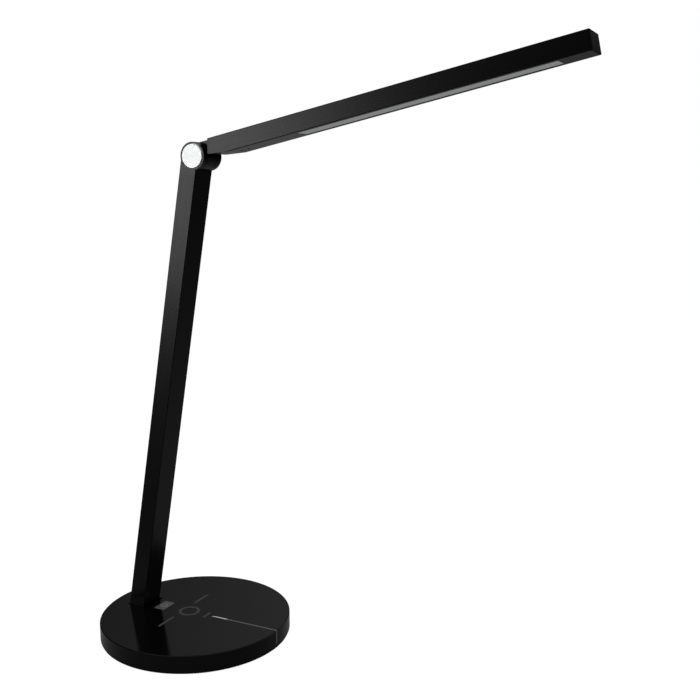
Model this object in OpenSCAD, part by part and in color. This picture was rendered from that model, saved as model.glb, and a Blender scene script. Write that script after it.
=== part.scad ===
// Folding LED desk lamp: a round charging base, a leaning stem and a slim light bar.
// Frame: origin at the centre of the base on the table, +Z up, +X the way the light bar points,
// both hinge axes along Y.

/* [Base] */
// Diameter of the round base
base_d = 182; // [160:1:240]
// Height of the base from the table to its top face
base_h = 17.4; // [16:0.1:24]
// Wall of the base cover, on top and round the side
base_wall = 2.2; // [1.8:0.1:2.8]
// Chamfer on the upper and lower edges of the cover
base_chamfer = 0.6; // [0.3:0.1:1.4]
// Thickness of the anti-slip pad, which lifts the cover off the table
pad_t = 1.2; // [0.8:0.1:1.8]
// Width of the pad's outer ring, measured along a radius
pad_ring_w = 22; // [14:1:30]
// Thickness of the bottom plate
plate_t = 1.6; // [1.2:0.1:2.2]
// Thickness of the steel ballast disc
ballast_t = 5; // [3:0.5:5.5]
// Free ring between the ballast and the wall of the cover
ballast_margin = 17; // [14:1:24]
// Radius of the screws that hold the plate and the circuit board
screw_r = 1.5; // [1.25:0.05:1.6]
// Outer radius of the screw bosses
boss_r = 3.4; // [3:0.1:4]

/* [Charging mark and touch key] */
// Distance from the middle of the touch key forward to the middle of the charging mark
mark_ahead = 30; // [28:0.5:32]
// Middle radius of the round inlay of the charging mark
mark_ring_r = 9; // [7:0.5:14]
// Width of the inlays of the charging mark
mark_w = 3; // [2:0.2:4]
// Length of the two straight inlays
mark_bar = 24; // [12:1:30]
// Distance of the straight inlays behind the middle of the round one
mark_bar_back = 6; // [0:0.5:7]
// Length of the short inlay in front of the round one
mark_tick = 12; // [8:1:20]
// Depth of the grooves that hold the inlays and the light guide
groove_depth = 1.2; // [0.8:0.1:1.4]
// Distance from the middle of the stem's foot forward to the middle of the touch key
key_ahead = 24; // [22:0.5:25]
// Depth of the touch key, front to back
key_d = 12; // [8:0.5:13]
// Width of the touch key, side to side
key_w = 19; // [14:0.5:26]
// Outer radius of the charging coil
coil_r = 20; // [17:0.5:22]
// Width of the indicator's light guide
guide_w = 1.8; // [1.2:0.1:3]
// Distance from the middle of the charging mark forward to the start of the light guide
guide_ahead = 25; // [25:0.5:30]

/* [Power inlet] */
// Radius of the socket's bore
inlet_r = 3.1; // [2.6:0.1:3.4]
// Depth of the socket's bore
inlet_depth = 9.5; // [8:0.5:11]

/* [Stem] */
// Forward lean of the stem from upright, at rest
stem_lean = 10.2; // [4:0.2:18]
// Distance from the rear edge of the base forward to the middle of the stem's foot
foot_inset = 29.1; // [28:0.1:30]
// Length of the stem from the top face of the base to the upper hinge
stem_reach = 443.4; // [320:0.1:520]
// Width of the stem, side to side
stem_w = 25.6; // [22:0.2:32]
// Depth of the stem, front to back
stem_t = 17.3; // [15:0.1:19]
// Wall of the stem's tube
stem_wall = 1.5; // [1.2:0.1:2]
// Rounding of the long edges of the stem and the light bar
edge_r = 0.6; // [0.4:0.1:1.4]
// Distance that the castings reach into the stem's tube
spigot_len = 34; // [24:1:44]

/* [Foot hinge] */
// Tilt backward from rest
tilt_back = 10; // [0:1:15]
// Tilt forward from rest
tilt_forward = 15; // [5:1:18]
// Radius of the foot hinge's pin
foot_pin_r = 2.5; // [2:0.1:2.8]
// Thickness of the cheeks of the foot bracket
foot_cheek_t = 2.5; // [2:0.1:3.5]
// Thickness of the bracket's flange
flange_t = 1.5; // [1.2:0.1:2]
// Thickness of the friction washers at the foot
foot_washer_t = 0.5; // [0.3:0.1:1]

/* [Upper hinge] */
// Radius of the hinge barrel
barrel_r = 12.4; // [11:0.1:13]
// Thickness of the stem's two cheeks round the hinge
cheek_t = 5; // [4.4:0.1:6]
// Height of the round bosses on the outer sides of the cheeks
cheek_boss_t = 1.2; // [0.6:0.1:2]
// Thickness of the friction washers
washer_t = 0.6; // [0.4:0.1:1]
// Radius of the hinge bolt
bolt_r = 3; // [2.5:0.1:3.5]
// Rim of the barrel that shows round each silver cap
cap_rim = 1.2; // [0.4:0.1:1.5]
// Height of the silver caps above the cheeks
cap_t = 0.5; // [0.3:0.1:1]

/* [Light bar] */
// Rise of the light bar above level, at rest
bar_rise = 11.8; // [4:0.2:20]
// Length of the light bar from the hinge axis to its tip
bar_reach = 355.5; // [300:0.5:420]
// Width of the light bar, side to side
bar_w = 29; // [26:0.5:32]
// Height of the light bar's section
bar_h = 15.8; // [15:0.1:19]
// Wall of the light bar's aluminium channel
bar_wall = 1.4; // [1.1:0.1:1.8]
// Distance of the underside below the hinge axis
bar_drop = 4.6; // [4:0.1:5.4]
// Distance of the light bar's rear end, at its underside, from the hinge axis
bar_start = 16.2; // [15:0.1:18]
// Slant of the rear end, which stands upright when the light bar is at rest
rear_slant = 11.8; // [0:0.2:15]
// Length of the relief under the rear end
relief_len = 22; // [14:1:28]
// Height of the relief at the rear end
relief_h = 2.8; // [2.5:0.1:4]
// Thickness of the tip cap's plate
tip_t = 2; // [1.4:0.1:3]

/* [Light source] */
// Where the light window starts, measured from the hinge axis
window_start = 103.4; // [90:0.2:130]
// Distance from the end of the light window to the tip
window_margin = 27; // [22:1:40]
// Width of the light window
window_w = 19.5; // [14:0.5:20.5]
// Number of LEDs
led_count = 40; // [16:1:60]
// Width of the LED board
board_w = 12; // [10:0.5:14]

/* [Hidden] */
$fn = 96;

// Fits: an assembly fit between still pieces, a running fit at a pin, and play where pieces pass
fit = 0.1;
running_fit = 0.05;
play = 0.4;
slot_gap = 0.6;
// Overlap that lets a cut pass cleanly through a face
eps = 1;
base_r = base_d / 2;
// Places on the top face, each measured forward from the centre of the base
foot_x = foot_inset - base_r;
key_x = foot_x + key_ahead;
mark_x = key_x + mark_ahead;
guide_start = mark_x + guide_ahead;

// Heights inside the base, from the table up
plate_z = pad_t;
plate_top = plate_z + plate_t;
ballast_top = plate_top + ballast_t;
ceiling_z = base_h - base_wall;
cavity_r = base_r - base_wall;
ballast_r = cavity_r - ballast_margin;
boss_place_r = (cavity_r + ballast_r) / 2;
boss_angles = [45, 135, 225, 315];
pad_outer_r = base_r - base_chamfer;
pad_channel_w = 12;
base_screw_len = 7.6;
countersink_t = plate_t * 0.9;
// The board hangs from the cover between the ballast and the ceiling, from just behind the light guide
board_t = 1.6;
board_gap = 1.6;
board_z = ballast_top + board_gap;
board_top = board_z + board_t;
board_lap = 1;
board_margin = 18;
board_start = guide_start - board_lap;
board_l = base_r - board_margin - board_start;
board_side = 40;
board_x = board_start + board_l / 2;
board_hole_in = 4;
board_corner = 0.8;
pan_head_t = 1.2;
pan_head_r = screw_r + 1.3;
board_screw_end = 0.6;
component_x = board_l / 7;
component_y = board_side / 4;
chip_side = board_l / 8;
chip_corner = 0.3;
chip_full_h = 2;
chip_gap = 0.6;
chip_h = min(chip_full_h, ceiling_z - board_top - chip_gap);
connector_l = board_l / 5;
connector_w = board_side / 5;
coil_t = 1.2;
coil_inner_r = 9;
ferrite_t = 0.8;
// The touch key has a flange under the ceiling, and its sensor board hangs on that flange
key_flange = 1.3;
key_flange_t = 1;
sensor_t = 1;
key_corner = 1.5;
guide_leg = 3;
guide_t = groove_depth;
led_h = 0.8;
// The inlays of the charging mark
bar_gap = 8;
tick_gap = 11.6;
mark_corner = mark_w * 0.3;

// The power socket stands on the plate behind the opening in the wall
inlet_z = (plate_top + ceiling_z) / 2;
inlet_side = 9;
inlet_h = ceiling_z - plate_top - 2 * fit;
socket_back = 2.5;
inlet_len = inlet_depth + socket_back;
inlet_face = -sqrt(pow(cavity_r, 2) - pow(inlet_side / 2, 2)) + fit;
plug_room = 1;
plug_r = inlet_r + plug_room;
plug_reach = base_wall + base_r - sqrt(pow(base_r, 2) - pow(plug_r, 2));

// Foot hinge
flange_top = plate_top + flange_t;
pivot_z = (flange_top + ceiling_z) / 2;
pivot_depth = base_h - pivot_z;
pivot_x = foot_x - pivot_depth * tan(stem_lean);
eye_r = (ceiling_z - flange_top) / 2 - play;
bracket_toe = 4;
bracket_l = 2 * (eye_r + bracket_toe);
foot_cheek_y = stem_w / 2 + foot_washer_t + fit;
foot_cheek_out = foot_cheek_y + foot_cheek_t;
bracket_out = 12;
bracket_w = 2 * (foot_cheek_out + bracket_out);
bracket_room = 1;
rivet_toe = 3.6;
rivet_in = 5;
rivet_r = 1.5;
rivet_head_r = 2.6;
rivet_head_t = 1;
nut_t = 2.2;
nut_r = foot_pin_r * 1.7;
pin_head_t = 1;
pin_head_r = foot_pin_r + 1.4;
pin_end = 0.6;
// The slot in the cover takes the stem at both limits of its tilt
lean_back = stem_lean - tilt_back;
lean_forward = stem_lean + tilt_forward;
slot_front = pivot_depth * tan(lean_forward) + stem_t / 2 / cos(lean_forward) + slot_gap;
slot_rear = stem_t / 2 / cos(lean_back) - (ceiling_z - pivot_z) * tan(lean_back) + slot_gap;

// Stem: its own frame has its origin at the foot pivot and Z along the tube
tube_z0 = 3;
hinge_z = stem_reach + pivot_depth / cos(stem_lean);
hinge_x = barrel_r - stem_t / 2;
yoke_neck = 5;
tube_z1 = hinge_z - barrel_r - yoke_neck;
lead_r = 1.2;
lead_hole_r = lead_r + 2 * fit;
lead_x = stem_t / 2 - stem_wall - lead_hole_r - play;
stem_screw_offset = 16;
stem_screw_len = 7;
// Upper hinge
slot_half = stem_w / 2 - cheek_t;
knuckle_w = 2 * (slot_half - washer_t - fit);
washer_r = barrel_r - 1.2;
counterbore = 3.2;
cheek_floor = stem_w / 2 - counterbore;
cheek_face = stem_w / 2 + cheek_boss_t;
counterbore_r = 7.4;
cap_skirt = 1;
skirt_gap = 1;
bolt_head_t = 2.2;
bolt_head_r = 5.2;
spring_washer_t = 0.6;
hinge_nut_t = 2;
nut_af = 10;
yoke_open = 8;

// Light bar: its own frame has its origin on the hinge axis and X along the bar
function rear_x(z) = bar_start + (z + bar_drop) * tan(rear_slant);
bar_top = bar_h - bar_drop;
bar_rear_t = 1.5;
housing_x1 = bar_reach - tip_t;
bar_spigot_len = 16;
bar_spigot_x = bar_start + relief_len + bar_spigot_len;
neck_low = 1;
lead_z = (bar_top + neck_low) / 2;
lead_entry = 2;
cavity_top = bar_top - bar_wall;
cavity_low = bar_wall - bar_drop;
cavity_w = bar_w - 2 * bar_wall;
tip_chamfer = 0.6;
tip_spigot = 8;
tip_wall = 1.5;
tip_floor = 1;
window_end = bar_reach - window_margin;
diffuser_flange = 1;
diffuser_step = 0.3;
diffuser_lap = 6;
tray_wall = 0.8;
tray_half = cavity_w / 2 - edge_r;
tray_end = 3;
led_board_t = 1;
led_l = 3.5;
led_w = 2.8;
led_z = cavity_top - led_board_t;
tray_low = cavity_low + diffuser_flange;
board_x0 = window_start - diffuser_lap;
board_x1 = window_end + diffuser_lap;
led_pitch = (window_end - window_start) / led_count;
set_screw_r = 1.5;
set_screw_len = 5;
set_screw_sink = 0.3;
set_screw_end = 1.5;
hex_r = 0.8;
hex_depth = 1.5;
set_screw_first = bar_start + relief_len + 5;
set_screw_pitch = 7;
set_screw_places = [set_screw_first, set_screw_first + set_screw_pitch];

black = "#1b1b1c";
dark = "#2a2a2c";
steel = "#a9abad";
silver = "#dfe1e3";
copper = "#b4693c";
green = "#1f5a37";
white = "#f3f3ef";

// Places children in the stem's frame
module in_stem() {
    translate([pivot_x, 0, pivot_z]) rotate([0, stem_lean, 0]) children();
}

// Places children on the upper hinge's axis, with the light bar's frame
module in_bar() {
    in_stem() translate([hinge_x, 0, hinge_z]) rotate([0, -stem_lean - bar_rise, 0]) children();
}

// Extrudes a side view, drawn as forward and up, over a width centred on Y
module across(width) {
    rotate([90, 0, 0]) linear_extrude(width, center = true) children();
}

// Cylinder along Y from y0 to y1
module y_rod(r, y0, y1) {
    translate([0, y1, 0]) rotate([90, 0, 0]) cylinder(r = r, h = y1 - y0);
}

// Flat outline with rounded corners, centred
module rounded(l, w, r) {
    square([l - 2 * r, w], center = true);
    square([l, w - 2 * r], center = true);
    for (sx = [-1, 1], sy = [-1, 1]) translate([sx * (l / 2 - r), sy * (w / 2 - r)]) circle(r);
}

// Block with rounded upright edges, centred on x and y
module rounded_block(l, w, h, r) {
    linear_extrude(h) rounded(l, w, r);
}

// Bar section standing on its own X axis: y by z, from x0 to x1
module x_bar(x0, x1, w, z0, z1, r) {
    translate([x0, 0, (z0 + z1) / 2]) rotate([90, 0, 90]) linear_extrude(x1 - x0) rounded(w, z1 - z0, r);
}

// Places the four screw bosses of the base
module at_bosses() {
    for (a = boss_angles) rotate([0, 0, a]) translate([boss_place_r, 0, 0]) children();
}

// Places the four corners of the circuit board
module at_board_corners() {
    for (sx = [-1, 1], sy = [-1, 1])
        translate([board_x + sx * (board_l / 2 - board_hole_in), sy * (board_side / 2 - board_hole_in), 0])
            children();
}

// Plan of the charging mark: a ring, a bar to each side of it and a short tick in front of it
module mark_plan() {
    difference() {
        circle(mark_ring_r + mark_w / 2);
        circle(mark_ring_r - mark_w / 2);
    }
    for (s = [-1, 1]) translate([-mark_bar_back, s * (mark_ring_r + bar_gap + mark_bar / 2)])
        rounded(mark_w, mark_bar, mark_corner);
    translate([mark_ring_r + tick_gap, 0]) rounded(mark_w, mark_tick, mark_corner);
}

// Countersunk screw pointing up, with its head's face at z = 0
module screw(r, len, head) {
    cylinder(r1 = r + head, r2 = r, h = head);
    cylinder(r = r, h = len);
}

// Room for that screw
module screw_room(r, len, head) {
    translate([0, 0, -eps]) cylinder(r = r + head + fit, h = eps);
    cylinder(r1 = r + head + fit, r2 = r + running_fit, h = head + fit - running_fit);
    cylinder(r = r + running_fit, h = len);
}

module base_cover() color(black) {
    difference() {
        union() {
            difference() {
                rotate_extrude() polygon([[0, pad_t], [base_r - base_chamfer, pad_t],
                    [base_r, pad_t + base_chamfer], [base_r, base_h - base_chamfer],
                    [base_r - base_chamfer, base_h], [0, base_h]]);
                translate([0, 0, -eps]) cylinder(r = cavity_r, h = ceiling_z + eps);
            }
            at_bosses() translate([0, 0, plate_top]) cylinder(r = boss_r, h = ceiling_z - plate_top + eps);
            at_board_corners() translate([0, 0, board_top])
                cylinder(r = boss_r, h = ceiling_z - board_top + eps);
        }
        at_bosses() translate([0, 0, plate_top - eps])
            cylinder(r = screw_r + running_fit, h = ceiling_z - plate_top);
        at_board_corners() translate([0, 0, board_top - eps])
            cylinder(r = screw_r + running_fit, h = ceiling_z - board_top + board_screw_end + eps);
        // Slot for the stem
        translate([pivot_x + (slot_front - slot_rear) / 2, 0, ceiling_z - eps])
            rounded_block(slot_front + slot_rear, stem_w + 2 * slot_gap, base_wall + 2 * eps, edge_r);
        // Window for the touch key
        translate([key_x, 0, ceiling_z - eps])
            rounded_block(key_d + 2 * fit, key_w + 2 * fit, base_wall + 2 * eps, key_corner);
        // Grooves for the charging mark and the light guide
        translate([mark_x, 0, base_h - groove_depth]) linear_extrude(groove_depth + eps) mark_plan();
        translate([guide_start, -guide_w / 2, base_h - guide_t]) cube([base_r, guide_w, guide_t + eps]);
        translate([base_r - guide_t, -guide_w / 2, 0]) cube([guide_t + eps, guide_w, base_h + eps]);
        translate([guide_start, -guide_w / 2, ceiling_z - eps]) cube([guide_leg, guide_w, base_wall + eps]);
        // Opening for the power plug
        translate([-base_r - eps, 0, inlet_z]) rotate([0, 90, 0]) cylinder(r = plug_r, h = plug_reach + eps);
    }
}

module base_plate() color(steel) difference() {
    translate([0, 0, plate_z]) cylinder(r = cavity_r - fit, h = plate_t);
    at_bosses() translate([0, 0, plate_z]) screw_room(screw_r, plate_t + eps, countersink_t);
    at_rivets() translate([0, 0, plate_z]) screw_room(rivet_r, plate_t + eps, rivet_head_t);
}

// The ballast is cut away at the rear for the foot bracket and the power socket
module ballast_disc() color(dark) difference() {
    translate([0, 0, plate_top]) cylinder(r = ballast_r, h = ballast_t);
    translate([-base_r, -bracket_w / 2 - bracket_room, 0])
        cube([base_r + pivot_x + bracket_l / 2 + bracket_room, bracket_w + 2 * bracket_room, base_h]);
}

// A disc with a shallow round channel between its outer ring and its middle
module anti_slip_pad() color("#0f0f10") difference() {
    cylinder(r = pad_outer_r, h = pad_t);
    translate([0, 0, -eps]) difference() {
        cylinder(r = pad_outer_r - pad_ring_w, h = pad_t / 3 + eps);
        cylinder(r = pad_outer_r - pad_ring_w - pad_channel_w, h = pad_t + eps);
    }
}

module base_screws() color(steel)
    at_bosses() translate([0, 0, plate_z]) screw(screw_r, base_screw_len, countersink_t);

module charging_coil() color(copper) translate([mark_x, 0, ceiling_z - coil_t]) difference() {
    cylinder(r = coil_r, h = coil_t);
    translate([0, 0, -eps]) cylinder(r = coil_inner_r, h = coil_t + 2 * eps);
}

module ferrite_sheet() color("#3c3c40")
    translate([mark_x, 0, ceiling_z - coil_t - ferrite_t]) cylinder(r = coil_r + 1, h = ferrite_t);

module charging_mark() color("#5a5b5d")
    translate([mark_x, 0, base_h - groove_depth]) linear_extrude(groove_depth) mark_plan();

module touch_key() color("#8c8d8f") translate([key_x, 0, 0]) {
    translate([0, 0, ceiling_z - key_flange_t / 2]) rounded_block(key_d, key_w, base_wall + key_flange_t / 2,
        key_corner);
    translate([0, 0, ceiling_z - key_flange_t])
        rounded_block(key_d + 2 * key_flange, key_w + 2 * key_flange, key_flange_t, key_corner);
}

module touch_sensor_board() color(green)
    translate([key_x, 0, ceiling_z - key_flange_t - sensor_t])
        rounded_block(key_d, key_w, sensor_t, board_corner);

module control_board() color(green) difference() {
    translate([board_x, 0, board_z]) rounded_block(board_l, board_side, board_t, board_corner);
    at_board_corners() cylinder(r = screw_r + running_fit, h = base_h);
}

module board_components() color("#19191b") {
    for (s = [-1, 1]) translate([board_x - component_x, s * component_y, board_top])
        rounded_block(chip_side, chip_side, chip_h * 0.7, chip_corner);
    for (n = [0.5, 2]) translate([board_x + n * component_x, -component_y, board_top])
        cylinder(r = chip_side / 2, h = chip_h);
    translate([board_x + component_x, component_y, board_top])
        rounded_block(connector_l, connector_w, chip_h, chip_corner);
}

module board_screws() color(steel)
    at_board_corners() translate([0, 0, board_z - pan_head_t]) {
        cylinder(r = pan_head_r, h = pan_head_t);
        cylinder(r = screw_r, h = pan_head_t + board_t + ceiling_z - board_top);
    }

module indicator_led() color(white)
    translate([guide_start + fit, -guide_w / 2, board_top]) cube([guide_leg - 2 * fit, guide_w, led_h]);

module indicator_light_guide() color("#c9cbcd") {
    translate([guide_start, -guide_w / 2 + running_fit, base_h - guide_t])
        cube([base_r - guide_start - base_chamfer, guide_w - 2 * running_fit, guide_t]);
    translate([base_r - guide_t, -guide_w / 2 + running_fit, pad_t + base_chamfer])
        cube([guide_t - fit, guide_w - 2 * running_fit, base_h - base_chamfer - pad_t - base_chamfer]);
    translate([guide_start + running_fit, -guide_w / 2 + running_fit, board_top + led_h + fit])
        cube([guide_leg - 2 * running_fit, guide_w - 2 * running_fit, base_h - board_top - led_h - guide_t]);
}

module power_socket() color("#111112") difference() {
    translate([inlet_face, -inlet_side / 2, plate_top + fit]) cube([inlet_len, inlet_side, inlet_h]);
    translate([inlet_face - eps, 0, inlet_z]) rotate([0, 90, 0]) cylinder(r = inlet_r, h = inlet_depth + eps);
}

module at_rivets() {
    for (sx = [-1, 1], sy = [-1, 1])
        translate([pivot_x + sx * (bracket_l / 2 - rivet_toe), sy * (bracket_w / 2 - rivet_in), 0])
            children();
}

module foot_bracket() color(steel) difference() {
    union() {
        translate([pivot_x - bracket_l / 2, -bracket_w / 2, plate_top])
            cube([bracket_l, bracket_w, flange_t]);
        for (s = [-1, 1])
            translate([pivot_x, s * (foot_cheek_y + foot_cheek_t / 2), 0]) across(foot_cheek_t) {
                translate([0, pivot_z]) circle(eye_r);
                translate([-eye_r, plate_top]) square([2 * eye_r, pivot_z - plate_top]);
            }
    }
    translate([pivot_x, 0, pivot_z]) y_rod(foot_pin_r + running_fit, -base_r, base_r);
    at_rivets() translate([0, 0, plate_top - eps])
        cylinder(r = rivet_r + running_fit, h = flange_t + 2 * eps);
}

module foot_rivets() color(steel) at_rivets() {
    translate([0, 0, plate_z]) screw(rivet_r, plate_t + flange_t + rivet_head_t / 2, rivet_head_t);
    translate([0, 0, flange_top]) cylinder(r = rivet_head_r, h = rivet_head_t);
}

module foot_pin() color(silver) translate([pivot_x, 0, pivot_z]) {
    y_rod(foot_pin_r, -foot_cheek_out - pin_head_t / 2, foot_cheek_out + nut_t + pin_end);
    y_rod(pin_head_r, -foot_cheek_out - pin_head_t, -foot_cheek_out);
}

module foot_pin_nut() color(steel) translate([pivot_x, foot_cheek_out + nut_t, pivot_z])
    rotate([90, 0, 0]) difference() {
        cylinder(r = nut_r, h = nut_t, $fn = 6);
        translate([0, 0, -eps]) cylinder(r = foot_pin_r + running_fit, h = nut_t + 2 * eps);
    }

module foot_washers() color(silver) translate([pivot_x, 0, pivot_z])
    for (s = [-1, 1]) translate([0, s * (stem_w / 2 + fit / 2 + foot_washer_t / 2), 0]) difference() {
        y_rod(eye_r - 2 * fit, -foot_washer_t / 2, foot_washer_t / 2);
        y_rod(foot_pin_r + running_fit, -foot_washer_t, foot_washer_t);
    }

module tube_inner() {
    rounded(stem_t - 2 * stem_wall, stem_w - 2 * stem_wall, edge_r);
}

module tube_spigot() {
    rounded(stem_t - 2 * stem_wall - 2 * fit, stem_w - 2 * stem_wall - 2 * fit, edge_r);
}

// Screw through the rear wall of the tube into a casting, at height z in the stem's frame
module at_stem_screw(z) {
    translate([-stem_t / 2, 0, z]) rotate([0, 90, 0]) children();
}

module stem_foot() color(dark) in_stem() difference() {
    union() {
        difference() {
            union() {
                y_rod(eye_r, -stem_w / 2, stem_w / 2);
                across(stem_w) polygon([[-eye_r, 0], [eye_r, 0], [stem_t / 2 - edge_r, tube_z0 - running_fit],
                    [-stem_t / 2 + edge_r, tube_z0 - running_fit]]);
            }
            translate([-stem_t, -stem_w, tube_z0 - running_fit]) cube([2 * stem_t, 2 * stem_w, 2 * eye_r]);
        }
        translate([0, 0, tube_z0 - 2 * running_fit]) linear_extrude(spigot_len) tube_spigot();
    }
    y_rod(foot_pin_r + running_fit, -stem_w, stem_w);
    translate([lead_x, 0, -eye_r]) cylinder(r = lead_hole_r, h = spigot_len + 3 * eye_r);
    at_stem_screw(tube_z0 + stem_screw_offset) screw_room(screw_r, stem_screw_len + eps, stem_wall);
}

module stem_tube() color(black) in_stem() difference() {
    translate([0, 0, tube_z0]) linear_extrude(tube_z1 - tube_z0) difference() {
        rounded(stem_t, stem_w, edge_r);
        tube_inner();
    }
    for (z = [tube_z0 + stem_screw_offset, tube_z1 - stem_screw_offset])
        at_stem_screw(z) screw_room(screw_r, stem_wall + eps, stem_wall);
}

module stem_yoke() color(black) in_stem() difference() {
    union() {
        translate([0, 0, tube_z1 + running_fit]) linear_extrude(hinge_z - tube_z1)
            rounded(stem_t, stem_w, edge_r);
        translate([hinge_x, 0, hinge_z]) y_rod(barrel_r, -cheek_face, cheek_face);
        translate([0, 0, tube_z1 - spigot_len]) linear_extrude(spigot_len + eps / 2) tube_spigot();
    }
    // Only the round barrel rises past the axis
    translate([-stem_t, -stem_w, hinge_z]) cube([stem_t + hinge_x - barrel_r, 2 * stem_w, barrel_r]);
    // Room between the cheeks for the light bar's knuckle
    translate([hinge_x, 0, hinge_z]) y_rod(barrel_r + play, -slot_half, slot_half);
    translate([-stem_t, -slot_half, hinge_z - yoke_open]) cube([3 * stem_t, 2 * slot_half, 3 * barrel_r]);
    translate([hinge_x, 0, hinge_z]) {
        y_rod(bolt_r + running_fit, -stem_w, stem_w);
        for (s = [-1, 1]) translate([0, s * stem_w / 2, 0]) y_rod(counterbore_r, -counterbore, counterbore);
    }
    translate([lead_x, 0, tube_z1 - 2 * spigot_len]) cylinder(r = lead_hole_r, h = 2 * spigot_len + barrel_r);
    at_stem_screw(tube_z1 - stem_screw_offset) screw_room(screw_r, stem_screw_len + eps, stem_wall);
}

module stem_screws() color(dark) in_stem()
    for (z = [tube_z0 + stem_screw_offset, tube_z1 - stem_screw_offset])
        at_stem_screw(z) screw(screw_r, stem_screw_len, stem_wall);

module stem_lead() color("#d8d8d4") in_stem() translate([lead_x, 0, tube_z0])
    cylinder(r = lead_r, h = tube_z1 - tube_z0);

// Places children on the upper hinge's axis, still in the stem's frame
module on_hinge() {
    in_stem() translate([hinge_x, 0, hinge_z]) children();
}

module hinge_bolt() color(silver) on_hinge() {
    y_rod(bolt_head_r, -cheek_floor - bolt_head_t, -cheek_floor);
    y_rod(bolt_r, -cheek_floor - eps, cheek_floor + spring_washer_t + hinge_nut_t + fit);
}

module hinge_spring_washer() color(steel) on_hinge() difference() {
    y_rod(bolt_head_r + play, cheek_floor, cheek_floor + spring_washer_t);
    y_rod(bolt_r + running_fit, cheek_floor - eps, cheek_floor + eps);
}

module hinge_nut() color(steel) on_hinge() translate([0, cheek_floor + spring_washer_t + hinge_nut_t, 0])
    rotate([90, 0, 0]) difference() {
        cylinder(r = nut_af / sqrt(3), h = hinge_nut_t, $fn = 6);
        translate([0, 0, -eps]) cylinder(r = bolt_r + running_fit, h = hinge_nut_t + 2 * eps);
    }

module friction_washers() color(silver) on_hinge()
    for (s = [-1, 1]) translate([0, s * (knuckle_w / 2 + fit / 2 + washer_t / 2), 0]) difference() {
        y_rod(washer_r, -washer_t / 2, washer_t / 2);
        y_rod(bolt_r + running_fit, -washer_t, washer_t);
    }

// Silver cap: a disc on the cheek with a skirt inside the counterbore
module hinge_cap(side) {
    on_hinge() rotate([0, 0, side > 0 ? 0 : 180]) difference() {
        union() {
            y_rod(barrel_r - cap_rim, cheek_face, cheek_face + cap_t);
            y_rod(counterbore_r - running_fit, cheek_floor + skirt_gap, cheek_face + cap_t / 2);
        }
        y_rod(counterbore_r - cap_skirt, 0, cheek_face);
    }
}

module hinge_cap_near() color(silver) hinge_cap(-1);

module hinge_cap_far() color(silver) hinge_cap(1);

// The relief under the rear end of the light bar, as a side view to cut away
module relief_view() {
    polygon([[bar_start - eps, -bar_h], [bar_start - eps, relief_h * (1 + eps / relief_len) - bar_drop],
        [bar_start + relief_len, -bar_drop], [bar_start + relief_len, -bar_h]]);
}

// Side view of all that lies behind the light bar's slanted rear end, moved forward along the bar
module behind_rear(forward) {
    polygon([[0, -bar_h], [rear_x(-bar_h) + forward, -bar_h], [rear_x(bar_h) + forward, bar_h], [0, bar_h]]);
}

// The knuckle's neck runs into the slanted end plate, and a spigot reaches from the plate into the housing
module bar_knuckle() color(black) in_bar() difference() {
    union() {
        y_rod(barrel_r, -knuckle_w / 2, knuckle_w / 2);
        across(knuckle_w) polygon([[0, neck_low], [rear_x(neck_low) + eps / 2, neck_low],
            [rear_x(bar_top) + eps / 2, bar_top], [0, bar_top]]);
        difference() {
            union() {
                intersection() {
                    x_bar(bar_start - eps, housing_x1, bar_w, -bar_drop, bar_top, edge_r);
                    across(2 * bar_w) behind_rear(bar_rear_t - running_fit);
                }
                x_bar(bar_start - eps, bar_spigot_x, cavity_w - 2 * fit, cavity_low + fit, cavity_top - fit,
                    edge_r);
            }
            across(2 * bar_w) behind_rear(0);
        }
    }
    across(2 * bar_w) relief_view();
    y_rod(bolt_r + running_fit, -bar_w, bar_w);
    translate([bolt_r + lead_entry, 0, lead_z]) rotate([0, 90, 0]) cylinder(r = lead_hole_r, h = bar_reach);
    for (x = set_screw_places) translate([x, 0, -bar_drop - eps])
        cylinder(r = set_screw_r + running_fit, h = set_screw_len + set_screw_end + eps);
}

module bar_set_screws() color(dark) in_bar()
    for (x = set_screw_places) translate([x, 0, set_screw_sink - bar_drop]) difference() {
        cylinder(r = set_screw_r, h = set_screw_len);
        translate([0, 0, -eps]) cylinder(r = hex_r, h = hex_depth + eps, $fn = 6);
    }

module bar_housing() color(black) in_bar() difference() {
    x_bar(bar_start, housing_x1, bar_w, -bar_drop, bar_top, edge_r);
    x_bar(bar_start - eps, housing_x1 + eps, cavity_w, cavity_low, cavity_top, edge_r);
    across(2 * bar_w) behind_rear(bar_rear_t);
    across(2 * bar_w) relief_view();
    translate([window_start, -window_w / 2, -bar_drop - eps])
        cube([window_end - window_start, window_w, bar_wall + 2 * eps]);
    for (x = set_screw_places) translate([x, 0, -bar_drop - eps])
        cylinder(r = set_screw_r + fit, h = bar_wall + 2 * eps);
}

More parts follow.
